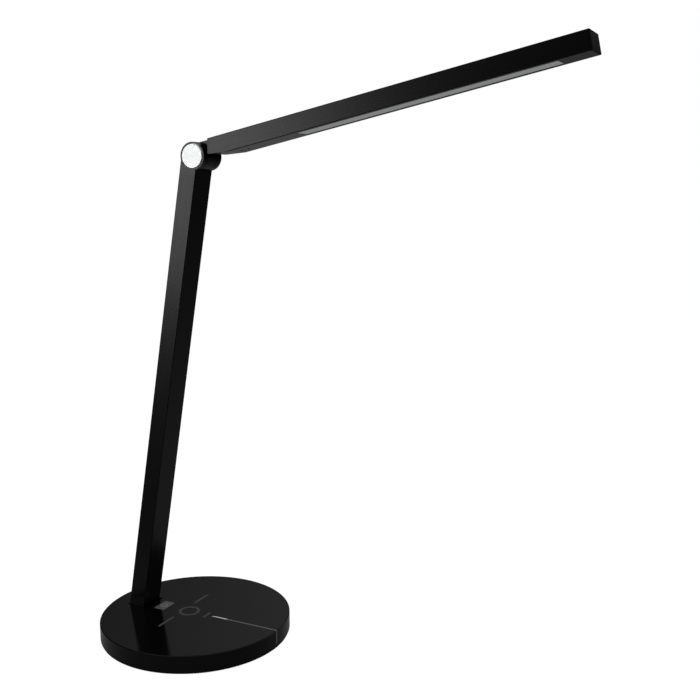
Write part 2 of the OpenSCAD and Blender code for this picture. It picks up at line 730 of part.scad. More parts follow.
module bar_tip_cap() color(black) in_bar() {
    intersection() {
        across(2 * bar_w) polygon([[housing_x1 + running_fit, -bar_drop],
            [bar_reach - tip_chamfer, -bar_drop], [bar_reach, tip_chamfer - bar_drop],
            [bar_reach, bar_top - tip_chamfer],
            [bar_reach - tip_chamfer, bar_top], [housing_x1 + running_fit, bar_top]]);
        linear_extrude(4 * bar_h, center = true) polygon([[0, -bar_w / 2],
            [bar_reach - tip_chamfer, -bar_w / 2], [bar_reach, tip_chamfer - bar_w / 2],
            [bar_reach, bar_w / 2 - tip_chamfer], [bar_reach - tip_chamfer, bar_w / 2], [0, bar_w / 2]]);
        x_bar(housing_x1, bar_reach, bar_w, -bar_drop, bar_top, edge_r);
    }
    difference() {
        x_bar(housing_x1 - tip_spigot, housing_x1 + 2 * running_fit, cavity_w - 2 * fit, cavity_low + fit,
            cavity_top - fit, edge_r);
        x_bar(housing_x1 - tip_spigot - eps, housing_x1 - tip_floor, cavity_w - 2 * tip_wall,
            cavity_low + tip_wall, cavity_top - tip_wall, edge_r / 2);
    }
}

module led_board() color("#e8e8e4") in_bar()
    translate([board_x0, -board_w / 2, led_z]) cube([board_x1 - board_x0, board_w, led_board_t]);

module leds() color("#f6e7a8") in_bar()
    for (i = [0 : led_count - 1])
        translate([window_start + (i + 0.5) * led_pitch - led_l / 2, -led_w / 2, led_z - led_h])
            cube([led_l, led_w, led_h]);

// White tray: two side walls and a top with a long slot for the LEDs
module reflector_tray() color(white) in_bar() difference() {
    translate([board_x0, -tray_half, tray_low]) cube([board_x1 - board_x0, 2 * tray_half, led_z - tray_low]);
    translate([board_x0 - eps, tray_wall - tray_half, tray_low - eps])
        cube([board_x1 - board_x0 + 2 * eps, 2 * (tray_half - tray_wall),
            led_z - tray_low - tray_wall + eps]);
    translate([board_x0 + tray_end, -led_w, tray_low])
        cube([board_x1 - board_x0 - 2 * tray_end, 2 * led_w, bar_h]);
}

module diffuser() color("#e9ebec") in_bar() {
    translate([board_x0, -tray_half, cavity_low])
        cube([board_x1 - board_x0, 2 * tray_half, diffuser_flange]);
    translate([window_start + fit, fit - window_w / 2, diffuser_step - bar_drop])
        cube([window_end - window_start - 2 * fit, window_w - 2 * fit, bar_wall]);
}

module bar_lead() color("#d8d8d4") in_bar() {
    translate([bar_start + lead_entry, 0, lead_z]) rotate([0, 90, 0])
        cylinder(r = lead_r, h = board_x0 - bar_start);
}

base_cover();
base_plate();
ballast_disc();
anti_slip_pad();
base_screws();
charging_coil();
ferrite_sheet();
charging_mark();
touch_key();
touch_sensor_board();
control_board();
board_components();
board_screws();
indicator_led();
indicator_light_guide();
power_socket();
foot_bracket();
foot_rivets();
foot_pin();
foot_pin_nut();
foot_washers();
stem_foot();
stem_tube();
stem_yoke();
stem_screws();
stem_lead();
hinge_bolt();
hinge_spring_washer();
hinge_nut();
friction_washers();
hinge_cap_near();
hinge_cap_far();
bar_knuckle();
bar_set_screws();
bar_housing();
bar_tip_cap();
led_board();
leds();
reflector_tray();
diffuser();
bar_lead();
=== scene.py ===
# Folding LED desk lamp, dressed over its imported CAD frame: a round charging base, a leaning stem and a
# slim light bar. Sizes are in millimetres and are turned into metres when a mesh is made.
import math

import bmesh
import bpy
import numpy as np
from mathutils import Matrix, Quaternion, Vector


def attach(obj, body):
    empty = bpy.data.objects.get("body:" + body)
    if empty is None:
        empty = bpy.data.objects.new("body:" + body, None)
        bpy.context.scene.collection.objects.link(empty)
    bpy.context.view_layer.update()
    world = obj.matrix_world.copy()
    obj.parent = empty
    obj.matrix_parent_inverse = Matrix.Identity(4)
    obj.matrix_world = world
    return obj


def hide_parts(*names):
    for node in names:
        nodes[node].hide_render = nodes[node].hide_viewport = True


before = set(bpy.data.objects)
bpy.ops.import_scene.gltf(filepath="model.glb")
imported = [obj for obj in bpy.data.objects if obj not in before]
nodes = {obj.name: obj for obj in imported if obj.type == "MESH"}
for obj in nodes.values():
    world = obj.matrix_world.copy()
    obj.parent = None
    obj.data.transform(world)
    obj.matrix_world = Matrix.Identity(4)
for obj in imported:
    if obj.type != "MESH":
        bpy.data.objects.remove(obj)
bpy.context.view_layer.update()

# The camera stands at the near side of the lamp, a little to the right and just under the light bar's height,
# as the photograph was taken.
camera_turn, camera_drop, camera_roll = (math.radians(a) for a in (26.17, 9.29, -0.16))
camera_back = Vector((math.sin(camera_turn) * math.cos(camera_drop),
                      -math.cos(camera_turn) * math.cos(camera_drop), math.sin(camera_drop)))
camera = bpy.data.objects.new("camera", bpy.data.cameras.new("camera"))
camera.data.sensor_width = 36.0
camera.data.lens = 50.2
camera.rotation_mode = "QUATERNION"
camera.rotation_quaternion = Quaternion(camera_back, camera_roll) @ (-camera_back).to_track_quat("-Z", "Y")
camera.location = (0.5313, -0.7393, 0.4229)
bpy.context.collection.objects.link(camera)
bpy.context.scene.camera = camera

# Anti-slip pad: one disc of foamed silicone rubber under the whole base, moulded with round ribs that grip
# the table and a shallow channel between its outer ring and its middle; it is glued to the bottom plate.
MM = 0.001
pad_r, pad_t, pad_ring_in, pad_middle_r, pad_channel = 90.4, 1.2, 68.4, 56.4, 0.4
pad_edge, pad_wall_low, rib_pitch, rib_depth = 0.15, 0.4, 2.8, 0.14


def srgb(code):
    """Linear RGBA of an sRGB hex colour: c / 12.92 below 0.04045, otherwise ((c + 0.055) / 1.055) to the
    power 2.4."""
    c = np.array([int(code[i:i + 2], 16) for i in (1, 3, 5)]) / 255
    return (*np.where(c < 0.04045, c / 12.92, ((c + 0.055) / 1.055) ** 2.4).tolist(), 1.0)


def add(tree, kind, inputs=(), **settings):
    """Adds a node of this kind, sets its own settings, then sets or links the inputs given by name."""
    made = tree.nodes.new(kind)
    for name, value in settings.items():
        setattr(made, name, value)
    for name, value in dict(inputs).items():
        if isinstance(value, bpy.types.NodeSocket):
            tree.links.new(value, made.inputs[name])
        else:
            made.inputs[name].default_value = value
    return made


def new_finish(name):
    """A material with an empty tree, and the socket that gives a point's own place in metres."""
    made = bpy.data.materials.new(name)
    made.use_nodes = True
    made.node_tree.nodes.clear()
    return made, made.node_tree, add(made.node_tree, "ShaderNodeTexCoord").outputs["Object"]


def woven(rows, cols):
    """Quads over a grid of rows by cols points, where each row closes on itself: a point, the next one round,
    and the two above them."""
    r, c = np.meshgrid(np.arange(rows - 1), np.arange(cols), indexing="ij")
    n = (c + 1) % cols
    return np.stack([r * cols + c, r * cols + n, (r + 1) * cols + n, (r + 1) * cols + c], -1).reshape(-1, 4)


def turned(profile, steps=96):
    """A profile of (radius, height) carried once round the upright axis: x = r cos t, y = r sin t and z is
    the height."""
    r, z = np.asarray(profile, float).T[:, :, None]
    t = np.arange(steps) * 2 * math.pi / steps
    points = np.stack([r * np.cos(t), r * np.sin(t), z + 0 * t], -1).reshape(-1, 3)
    return points, woven(len(r), steps)


def make_piece(name, parts, finish, body, slot, *stands_for):
    """One mesh from parts of (points in millimetres, quads): seams and poles are merged, faces are turned
    outward, and the piece rides its body and stands for its CAD nodes, which it hides. slot is not used."""
    starts = np.cumsum([0] + [len(p) for p, _ in parts[:-1]])
    mesh = bpy.data.meshes.new(name)
    mesh.from_pydata(np.concatenate([p for p, _ in parts]) * MM, [],
                     np.concatenate([f + s for (_, f), s in zip(parts, starts)]).tolist())
    work = bmesh.new()
    work.from_mesh(mesh)
    bmesh.ops.remove_doubles(work, verts=work.verts, dist=1e-6)
    bmesh.ops.recalc_face_normals(work, faces=work.faces)
    work.to_mesh(mesh)
    work.free()
    mesh.polygons.foreach_set("use_smooth", np.ones(len(mesh.polygons), bool))
    mesh.set_sharp_from_angle(angle=math.radians(38))
    mesh.materials.append(finish)
    piece = bpy.data.objects.new(name, mesh)
    bpy.context.collection.objects.link(piece)
    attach(piece, body)
    if stands_for:
        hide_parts(*stands_for)
    return piece


# Silicone rubber, compression moulded: dead matt and almost black, with a faint bloom in patches about 9 mm
# wide. Its closed pores are 0.2 mm; they are drawn at 0.7 mm so that they show.
rubber, tree, place = new_finish("silicone_rubber_moulded")
bloom = add(tree, "ShaderNodeTexNoise", {"Vector": place, "Scale": 1 / 0.009, "Detail": 3.0})
pores = add(tree, "ShaderNodeTexNoise", {"Vector": place, "Scale": 1 / 0.0007, "Detail": 2.0})
tint = add(tree, "ShaderNodeMix", {0: bloom.outputs["Fac"], 6: srgb("#0c0c0c"), 7: srgb("#181818")},
           data_type="RGBA")
relief = add(tree, "ShaderNodeBump", {"Height": pores.outputs["Fac"], "Distance": 0.0001, "Strength": 0.5})
skin = add(tree, "ShaderNodeBsdfPrincipled", {"Base Color": tint.outputs[2], "Roughness": 0.88, "IOR": 1.41,
                                              "Specular IOR Level": 0.2, "Normal": relief.outputs["Normal"]})
add(tree, "ShaderNodeOutputMaterial", {"Surface": skin.outputs["BSDF"]})


def ribbed(r):
    """Height of the pad's underside at radius r: the ribs are a raised cosine that touches the table at 0."""
    return rib_depth * (0.5 - 0.5 * np.cos(2 * math.pi * r / rib_pitch))


ring_r = np.linspace(pad_r - 0.5, pad_ring_in + 0.2, 65)
middle_r = np.linspace(pad_middle_r - 0.2, 0, 150)
pad_profile = [(0, pad_t), (pad_r - pad_edge, pad_t), (pad_r, pad_t - pad_edge), (pad_r, pad_wall_low),
               (pad_r - pad_edge, pad_edge)]
pad_profile += [*zip(ring_r, ribbed(ring_r)), (pad_ring_in, pad_channel), (pad_middle_r, pad_channel)]
pad_profile += [*zip(middle_r, ribbed(middle_r))]
make_piece("grip_pad", [turned(pad_profile, 128)], rubber, "base", "pad_rubber", "anti_slip_pad")

# Bottom plate with its countersunk screws, rivets and bracket: steel sheet and steel fasteners, zinc plated
# after pressing. The plate is screwed up into the cover's bosses, and the bracket is riveted to it.
# Zinc plating: a pale, slightly blue metal with soft cloudy patches about 6 mm wide and the fine lines of the
# rolling mill, 0.3 mm apart, under the plating.
zinc, tree, place = new_finish("zinc_plated_steel_rolled")
clouds = add(tree, "ShaderNodeTexNoise", {"Vector": place, "Scale": 1 / 0.006, "Detail": 4.0})
mill = add(tree, "ShaderNodeMapping", {"Vector": place, "Scale": (0.08, 0.0003, 0.0003)},
           vector_type="TEXTURE")
lines = add(tree, "ShaderNodeTexNoise", {"Vector": mill.outputs["Vector"], "Scale": 1.0, "Detail": 2.0})
tint = add(tree, "ShaderNodeMix", {0: clouds.outputs["Fac"], 6: srgb("#a3a7ab"), 7: srgb("#bfc2c4")},
           data_type="RGBA")
sheen = add(tree, "ShaderNodeMapRange", {"Value": clouds.outputs["Fac"], "To Min": 0.3, "To Max": 0.5})
relief = add(tree, "ShaderNodeBump", {"Height": lines.outputs["Fac"], "Distance": 0.00002, "Strength": 0.4})
skin = add(tree, "ShaderNodeBsdfPrincipled", {"Base Color": tint.outputs[2], "Metallic": 1.0,
                                              "Roughness": sheen.outputs["Result"],
                                              "Normal": relief.outputs["Normal"]})
add(tree, "ShaderNodeOutputMaterial", {"Surface": skin.outputs["BSDF"]})


def wear(finish, *names):
    """Gives a CAD node, or several, this finish in place of its plain one."""
    for name in names:
        for own in nodes[name].material_slots:
            own.material = finish


wear(zinc, "base_plate", "base_screws", "foot_rivets", "foot_bracket", "foot_pin_nut", "board_screws",
     "hinge_spring_washer", "hinge_nut")

# Ballast disc: grey iron, cast in sand and left as cast, that keeps the lamp from tipping. It is cut away
# behind for the bracket and the power socket, and it is glued down on the bottom plate.
# As-cast iron: dull dark grey with sand grains 0.4 mm across, drawn at 0.9 mm, and rust-brown tints.
iron, tree, place = new_finish("grey_iron_sand_cast")
sand = add(tree, "ShaderNodeTexNoise", {"Vector": place, "Scale": 1 / 0.0009, "Detail": 5.0,
                                        "Roughness": 0.7})
tints = add(tree, "ShaderNodeTexNoise", {"Vector": place, "Scale": 1 / 0.014, "Detail": 3.0})
tint = add(tree, "ShaderNodeMix", {0: tints.outputs["Fac"], 6: srgb("#3a3a3c"), 7: srgb("#4b4541")},
           data_type="RGBA")
relief = add(tree, "ShaderNodeBump", {"Height": sand.outputs["Fac"], "Distance": 0.0003, "Strength": 0.7})
skin = add(tree, "ShaderNodeBsdfPrincipled", {"Base Color": tint.outputs[2], "Metallic": 0.6,
                                              "Roughness": 0.72, "Normal": relief.outputs["Normal"]})
add(tree, "ShaderNodeOutputMaterial", {"Surface": skin.outputs["BSDF"]})
wear(iron, "ballast_disc")

# Pin, washers and bolt of the two friction hinges: stainless steel turned on a lathe, so that it runs on the
# castings without wearing. Their nuts set the friction, the upper one through a spring washer.
# Turned stainless steel: bright, with tool lines 0.15 mm apart round its axis, drawn at 0.3 mm.
stainless, tree, place = new_finish("stainless_steel_turned")
lathe_lines = add(tree, "ShaderNodeMapping", {"Vector": place, "Scale": (0.004, 0.0003, 0.004)},
                  vector_type="TEXTURE")
lines = add(tree, "ShaderNodeTexNoise", {"Vector": lathe_lines.outputs["Vector"], "Scale": 1.0,
                                         "Detail": 3.0})
tint = add(tree, "ShaderNodeMix", {0: lines.outputs["Fac"], 6: srgb("#b4b4b2"), 7: srgb("#cfcfcd")},
           data_type="RGBA")
relief = add(tree, "ShaderNodeBump", {"Height": lines.outputs["Fac"], "Distance": 0.00002, "Strength": 0.5})
skin = add(tree, "ShaderNodeBsdfPrincipled", {"Base Color": tint.outputs[2], "Metallic": 1.0,
                                              "Roughness": 0.28, "Normal": relief.outputs["Normal"]})
add(tree, "ShaderNodeOutputMaterial", {"Surface": skin.outputs["BSDF"]})
wear(stainless, "foot_pin", "foot_washers", "hinge_bolt", "friction_washers")

# Control board and touch sensor board: glass fibre laminate under green solder mask, screwed up against the
# cover's bosses. The sensor board hangs on the key's flange.
# Solder mask: glossy green, darker between copper tracks 0.5 mm wide that lie 1.8 mm apart.
laminate, tree, place = new_finish("glass_fibre_board_solder_mask")
tracks = add(tree, "ShaderNodeTexBrick", {"Vector": place, "Scale": 1.0, "Brick Width": 0.0072,
                                          "Row Height": 0.0018, "Mortar Size": 0.0005, "Mortar Smooth": 0.1,
                                          "Color1": srgb("#124a2a"), "Color2": srgb("#164f2e"),
                                          "Mortar": srgb("#2c7448")})
relief = add(tree, "ShaderNodeBump", {"Height": tracks.outputs["Fac"], "Distance": 0.00004, "Strength": 0.6})
skin = add(tree, "ShaderNodeBsdfPrincipled", {"Base Color": tracks.outputs["Color"], "Roughness": 0.32,
                                              "IOR": 1.55, "Normal": relief.outputs["Normal"]})
add(tree, "ShaderNodeOutputMaterial", {"Surface": skin.outputs["BSDF"]})
wear(laminate, "control_board", "touch_sensor_board")

# Components on the control board: two chips, two capacitors and a connector, transfer moulded in epoxy and
# soldered down.
# Moulded epoxy: matt charcoal with the filler's specks, 0.2 mm across, drawn at 0.5 mm.
epoxy, tree, place = new_finish("epoxy_packages_transfer_moulded")
filler = add(tree, "ShaderNodeTexNoise", {"Vector": place, "Scale": 1 / 0.0005, "Detail": 2.0})
tint = add(tree, "ShaderNodeMix", {0: filler.outputs["Fac"], 6: srgb("#161617"), 7: srgb("#2a2a2b")},
           data_type="RGBA")
skin = add(tree, "ShaderNodeBsdfPrincipled", {"Base Color": tint.outputs[2], "Roughness": 0.62, "IOR": 1.57})
add(tree, "ShaderNodeOutputMaterial", {"Surface": skin.outputs["BSDF"]})
wear(epoxy, "board_components")

# Charging coil: one flat spiral of enamelled copper wire, ten and a half turns side by side, wound and
# bonded on a jig, then glued under the cover with its ferrite sheet behind it.
# Enamelled copper: warm orange metal under clear varnish, with the wire's own tint changing along a turn.
coil_x, coil_z, wire_r, coil_in, coil_out, coil_turns = -7.9, 14.6, 0.5, 9.5, 19.5, 10.5
copper, tree, place = new_finish("copper_wire_enamelled")
along = add(tree, "ShaderNodeTexNoise", {"Vector": place, "Scale": 1 / 0.004, "Detail": 2.0})
tint = add(tree, "ShaderNodeMix", {0: along.outputs["Fac"], 6: srgb("#a65a2c"), 7: srgb("#c87a44")},
           data_type="RGBA")
skin = add(tree, "ShaderNodeBsdfPrincipled", {"Base Color": tint.outputs[2], "Metallic": 1.0,
                                              "Roughness": 0.3, "Coat Weight": 0.6, "Coat Roughness": 0.12})
add(tree, "ShaderNodeOutputMaterial", {"Surface": skin.outputs["BSDF"]})


def spiral_wire(steps=620, sides=8):
    """A round wire along a flat spiral: the radius grows evenly with the angle t, and the wire's circle of
    angle s stands in the plane of the radius and the upright; the first and last rings shrink to a point."""
    t = np.linspace(0, coil_turns * 2 * math.pi, steps)[:, None]
    s = np.arange(sides) * 2 * math.pi / sides
    girth = np.where((t == t[0]) | (t == t[-1]), 0, wire_r)
    r = coil_in + (coil_out - coil_in) * t / t[-1] + girth * np.cos(s)
    points = np.stack([coil_x + r * np.cos(t), r * np.sin(t), coil_z + girth * np.sin(s)], -1).reshape(-1, 3)
    return points, woven(steps, sides)


make_piece("coil_winding", [spiral_wire()], copper, "base", "copper", "charging_coil")

# Ferrite sheet: pressed and fired ferrite tiles between two films, that keeps the coil's field off the iron.
# Fired ferrite: dark warm grey, broken on purpose into tiles about 2 mm wide whose cracks show in the film.
ferrite, tree, place = new_finish("ferrite_sheet_fired")
cracks = add(tree, "ShaderNodeTexVoronoi", {"Vector": place, "Scale": 1 / 0.002}, feature="DISTANCE_TO_EDGE")
edge = add(tree, "ShaderNodeMapRange", {"Value": cracks.outputs["Distance"], "From Max": 0.05})
tint = add(tree, "ShaderNodeMix", {0: edge.outputs["Result"], 6: srgb("#1f1e1f"), 7: srgb("#3d3b3b")},
           data_type="RGBA")
skin = add(tree, "ShaderNodeBsdfPrincipled", {"Base Color": tint.outputs[2], "Roughness": 0.4})
add(tree, "ShaderNodeOutputMaterial", {"Surface": skin.outputs["BSDF"]})
wear(ferrite, "ferrite_sheet")

# Power socket: a barrel jack moulded in glass-filled nylon, pushed behind the opening in the base's wall. Its
# centre pin and the spring collar inside the mouth are stainless steel, pressed in.
# Glass-filled nylon: matt black with a faint swirl of fibres about 1.5 mm long.
socket_x, socket_z, socket_bore, socket_deep, pin_r, pin_len = -88.5, 9.0, 3.1, 9.5, 0.95, 8.2
pin_sink, collar_in, collar_out, collar_play = 0.2, 0.2, 2.4, 0.02
collar_waist, collar_lip, collar_neck = 1.3, 0.25, 0.4
nylon, tree, place = new_finish("nylon_glass_filled_moulded")
fibres = add(tree, "ShaderNodeTexNoise", {"Vector": place, "Scale": 1 / 0.0015, "Detail": 3.0,
                                          "Distortion": 1.5})
tint = add(tree, "ShaderNodeMix", {0: fibres.outputs["Fac"], 6: srgb("#0f0f10"), 7: srgb("#1d1d1f")},
           data_type="RGBA")
relief = add(tree, "ShaderNodeBump", {"Height": fibres.outputs["Fac"], "Distance": 0.00005, "Strength": 0.4})
skin = add(tree, "ShaderNodeBsdfPrincipled", {"Base Color": tint.outputs[2], "Roughness": 0.6, "IOR": 1.53,
                                              "Specular IOR Level": 0.25, "Normal": relief.outputs["Normal"]})
add(tree, "ShaderNodeOutputMaterial", {"Surface": skin.outputs["BSDF"]})
wear(nylon, "power_socket")


def pointing(part, origin, towards):
    """Turns a part whose axis is upright so that the axis points along 'towards', then moves it to origin."""
    turn = np.array(Vector((0, 0, 1)).rotation_difference(Vector(towards)).to_matrix())
    return part[0] @ turn.T + origin, part[1]


pin_round = np.linspace(0, math.pi / 2, 7)
pin_profile = [(0, -pin_sink), (pin_r, -pin_sink), (pin_r, pin_len - pin_r)]
pin_profile += [*zip(pin_r * np.cos(pin_round), pin_len - pin_r + pin_r * np.sin(pin_round))]
collar_profile = [(socket_bore - collar_play, collar_in), (socket_bore - collar_play, collar_out),
                  (socket_bore - collar_lip, collar_out), (socket_bore - collar_neck, collar_waist),
                  (socket_bore - collar_lip, collar_in), (socket_bore - collar_play, collar_in)]
socket_end = np.array((socket_x + socket_deep, 0, socket_z))
make_piece("socket_pin", [pointing(turned(pin_profile, 32), socket_end, (-1, 0, 0))], stainless, "base",
           "steel")
socket_mouth = np.array((socket_x, 0, socket_z))
make_piece("socket_collar", [pointing(turned(collar_profile, 48), socket_mouth, (1, 0, 0))], stainless,
           "base", "steel")

# Base cover: one round shell moulded in ABS, with bosses inside for the screws, a slot for the stem, a window
# for the key and grooves for the inlays.
# Moulded ABS: black, semi-gloss, from a spark-eroded mould; the grain is 0.12 mm and is drawn at 0.35 mm. Its
# gloss changes softly over 30 mm, as it does where the plastic cooled last.
abs_black, tree, place = new_finish("abs_moulded_spark_grain")
grain = add(tree, "ShaderNodeTexNoise", {"Vector": place, "Scale": 1 / 0.00035, "Detail": 2.0})
cooling = add(tree, "ShaderNodeTexNoise", {"Vector": place, "Scale": 1 / 0.03, "Detail": 3.0})
tint = add(tree, "ShaderNodeMix", {0: cooling.outputs["Fac"], 6: srgb("#030304"), 7: srgb("#060607")},
           data_type="RGBA")
sheen = add(tree, "ShaderNodeMapRange", {"Value": cooling.outputs["Fac"], "To Min": 0.09, "To Max": 0.14})
relief = add(tree, "ShaderNodeBump", {"Height": grain.outputs["Fac"], "Distance": 0.00001, "Strength": 0.3})
skin = add(tree, "ShaderNodeBsdfPrincipled", {"Base Color": tint.outputs[2],
                                              "Roughness": sheen.outputs["Result"],
                                              "IOR": 1.5, "Specular IOR Level": 0.2,
                                              "Normal": relief.outputs["Normal"]})
add(tree, "ShaderNodeOutputMaterial", {"Surface": skin.outputs["BSDF"]})
wear(abs_black, "base_cover")

# Charging mark: four soft inlays that show where the phone lies and keep it from sliding, a ring, a bar at
# each side and a short tick. They are moulded in silicone and pressed into the grooves of the cover.
# Satin silicone: dark grey, with a fine matt grain of 0.2 mm, drawn at 0.5 mm.
top_z, groove, mark_x, mark_r, mark_w, mark_bar, mark_back = 17.4, 1.2, -7.9, 9.0, 3.0, 24.0, 6.0
bar_gap, tick_gap, mark_tick = 8.0, 11.6, 12.0
inlay_gap, inlay_corner, inlay_edge, inlay_crown = 0.1, 0.85, 0.2, 0.16
inlay_w = mark_w - inlay_gap
silicone, tree, place = new_finish("silicone_inlay_satin")
grain = add(tree, "ShaderNodeTexNoise", {"Vector": place, "Scale": 1 / 0.0005, "Detail": 2.0})
tint = add(tree, "ShaderNodeMix", {0: grain.outputs["Fac"], 6: srgb("#38383a"), 7: srgb("#464648")},
           data_type="RGBA")
relief = add(tree, "ShaderNodeBump", {"Height": grain.outputs["Fac"], "Distance": 0.00004, "Strength": 0.4})
skin = add(tree, "ShaderNodeBsdfPrincipled", {"Base Color": tint.outputs[2], "Roughness": 0.55, "IOR": 1.41,
                                              "Specular IOR Level": 0.15, "Normal": relief.outputs["Normal"]})
add(tree, "ShaderNodeOutputMaterial", {"Surface": skin.outputs["BSDF"]})


def cushion(length, width, corner, low, high, crown, edge):
    """A rounded rectangle with a crowned face: the outline times s, at height high + crown (1 - s squared);
    then a quarter round of radius edge, the wall down to low, and the floor drawn in to its middle."""
    q = np.linspace(0, math.pi / 2, 9)
    quarter = np.arange(4)[:, None] * math.pi / 2
    normal = np.stack([np.cos(q + quarter), np.sin(q + quarter)], -1)
    signs = np.array([(1, 1), (-1, 1), (-1, -1), (1, -1)])[:, None]
    centre = signs * (length / 2 - corner, width / 2 - corner)
    outline = (centre + corner * normal).reshape(-1, 2)
    normal = normal.reshape(-1, 2)
    s = np.array([0, 0.3, 0.6, 0.85, 1.0])[:, None, None]
    a = np.linspace(0, math.pi / 2, 5)[1:, None, None]
    way = math.copysign(1, high - low)
    face = s * (outline - edge * normal)
    turn = outline - edge * (1 - np.sin(a)) * normal
    plan = np.concatenate([face, turn, outline[None], 0 * outline[None]])
    height = np.concatenate([high + crown * (1 - s ** 2), high - way * edge * (1 - np.cos(a)),
                             [[[low]], [[low]]]])
    points = np.concatenate([plan, height + 0 * plan[:, :, :1]], -1)
    return points.reshape(-1, 3), woven(len(plan), len(outline))


across = np.linspace(-1, 1, 9)
ring_profile = [(mark_r - inlay_w / 2, top_z - groove), (mark_r + inlay_w / 2, top_z - groove)]
ring_profile += [*zip(mark_r - inlay_w / 2 * across, top_z - 0.05 + inlay_crown * (1 - across ** 4)),
                 (mark_r - inlay_w / 2, top_z - groove)]
ring_points, ring_faces = turned(ring_profile, 72)
mark_parts = [(ring_points + (mark_x, 0, 0), ring_faces)]
bar_y = mark_r + bar_gap + mark_bar / 2
for length, x, y in ((mark_bar, mark_x - mark_back, -bar_y), (mark_bar, mark_x - mark_back, bar_y),
                     (mark_tick, mark_x + mark_r + tick_gap, 0)):
    points, faces = cushion(inlay_w, length - inlay_gap, inlay_corner, top_z - groove, top_z, inlay_crown,
                            inlay_edge)
    mark_parts.append((points + (x, y, 0), faces))
make_piece("charge_mark_inlays", mark_parts, silicone, "base", "mark_silicone", "charging_mark")

# Touch key: a small plate of acrylic, printed grey on its inner side and polished outside, that lies flush in
# its window and switches and dims the light when a finger rests on it. Its flange is glued under the cover.
# Printed acrylic: grey seen through a clear face, with a fine metallic fleck 0.3 mm across in the ink, and a
# generic switch sign, an open ring with a stroke, in paler ink.
key_x, key_l, key_w, key_corner, key_low = -37.9, 12.0, 19.0, 1.5, 14.2
key_rim, key_flange = 1.3, 1.0
acrylic_key, tree, place = new_finish("acrylic_printed_grey")
fleck = add(tree, "ShaderNodeTexNoise", {"Vector": place, "Scale": 1 / 0.0003, "Detail": 1.0})
ink = add(tree, "ShaderNodeMix", {0: fleck.outputs["Fac"], 6: srgb("#4e4e4f"), 7: srgb("#606061")},
          data_type="RGBA")
own = add(tree, "ShaderNodeVectorMath", {0: place, 1: (key_x * MM, 0, 0)},
          operation="SUBTRACT")
flat = add(tree, "ShaderNodeVectorMath", {0: own.outputs["Vector"], 1: (1, 1, 0)}, operation="MULTIPLY")
far = add(tree, "ShaderNodeVectorMath", {0: flat.outputs["Vector"]}, operation="LENGTH")
ring = add(tree, "ShaderNodeMath", {0: far.outputs["Value"], 1: 0.0031, 2: 0.0004}, operation="COMPARE")
axes = add(tree, "ShaderNodeSeparateXYZ", {"Vector": flat.outputs["Vector"]})
beside = add(tree, "ShaderNodeMath", {0: axes.outputs["Y"], 1: 0.0, 2: 0.0011}, operation="COMPARE")
ahead = add(tree, "ShaderNodeMath", {0: axes.outputs["X"], 1: 0.0}, operation="GREATER_THAN")
gap = add(tree, "ShaderNodeMath", {0: beside.outputs["Value"], 1: ahead.outputs["Value"]},
          operation="MULTIPLY")
open_ring = add(tree, "ShaderNodeMath", {0: ring.outputs["Value"], 1: gap.outputs["Value"]},
                operation="SUBTRACT", use_clamp=True)
thin = add(tree, "ShaderNodeMath", {0: axes.outputs["Y"], 1: 0.0, 2: 0.0004}, operation="COMPARE")
span = add(tree, "ShaderNodeMath", {0: axes.outputs["X"], 1: 0.0025, 2: 0.0014}, operation="COMPARE")
stroke = add(tree, "ShaderNodeMath", {0: thin.outputs["Value"], 1: span.outputs["Value"]},
             operation="MULTIPLY")
sign = add(tree, "ShaderNodeMath", {0: open_ring.outputs["Value"], 1: stroke.outputs["Value"]},
           operation="MAXIMUM")
tint = add(tree, "ShaderNodeMix", {0: sign.outputs["Value"], 6: ink.outputs[2], 7: srgb("#8d8d8e")},
           data_type="RGBA")
skin = add(tree, "ShaderNodeBsdfPrincipled", {"Base Color": tint.outputs[2], "Roughness": 0.22, "IOR": 1.49,
                                              "Specular IOR Level": 0.2})
add(tree, "ShaderNodeOutputMaterial", {"Surface": skin.outputs["BSDF"]})
flange_l, flange_across = key_l + 2 * key_rim, key_w + 2 * key_rim
key_parts = [cushion(key_l, key_w, key_corner, key_low + 0.2, top_z, 0.12, 0.25),
             cushion(flange_l, flange_across, key_corner, key_low, key_low + key_flange, 0, 0.1)]
make_piece("key_plate", [(p + (key_x, 0, 0), f) for p, f in key_parts], acrylic_key, "base", "key_acrylic",
           "touch_key")

# Light guide: one moulded strip of clear acrylic that lies in a groove from the charging mark to the rim and
# bends down the wall. A leg at its inner end stands over the indicator LED on the control board.
# Frosted acrylic: the first 18 mm, over the LED, are backed with white ink and look pale; the rest is smoky,
# with a frosted face whose grain of 0.1 mm is drawn at 0.3 mm.
guide_x0, guide_w, guide_t, rim_x, guide_foot = 17.15, 1.7, 1.15, 90.85, 1.85
leg_l, leg_middle, leg_low = 2.9, guide_x0 + 1.5, 11.9
guide_acrylic, tree, place = new_finish("acrylic_light_guide_frosted")
axes = add(tree, "ShaderNodeSeparateXYZ", {"Vector": place})
backed = add(tree, "ShaderNodeMapRange", {"Value": axes.outputs["X"], "From Min": 0.034, "From Max": 0.037})
frost = add(tree, "ShaderNodeTexNoise", {"Vector": place, "Scale": 1 / 0.0003, "Detail": 2.0})
tint = add(tree, "ShaderNodeMix", {0: backed.outputs["Result"], 6: srgb("#c2c3c4"), 7: srgb("#5a5b5c")},
           data_type="RGBA")
relief = add(tree, "ShaderNodeBump", {"Height": frost.outputs["Fac"], "Distance": 0.00003, "Strength": 0.4})
skin = add(tree, "ShaderNodeBsdfPrincipled", {"Base Color": tint.outputs[2], "Roughness": 0.4, "IOR": 1.49,
                                              "Specular IOR Level": 0.25, "Normal": relief.outputs["Normal"]})
add(tree, "ShaderNodeOutputMaterial", {"Surface": skin.outputs["BSDF"]})


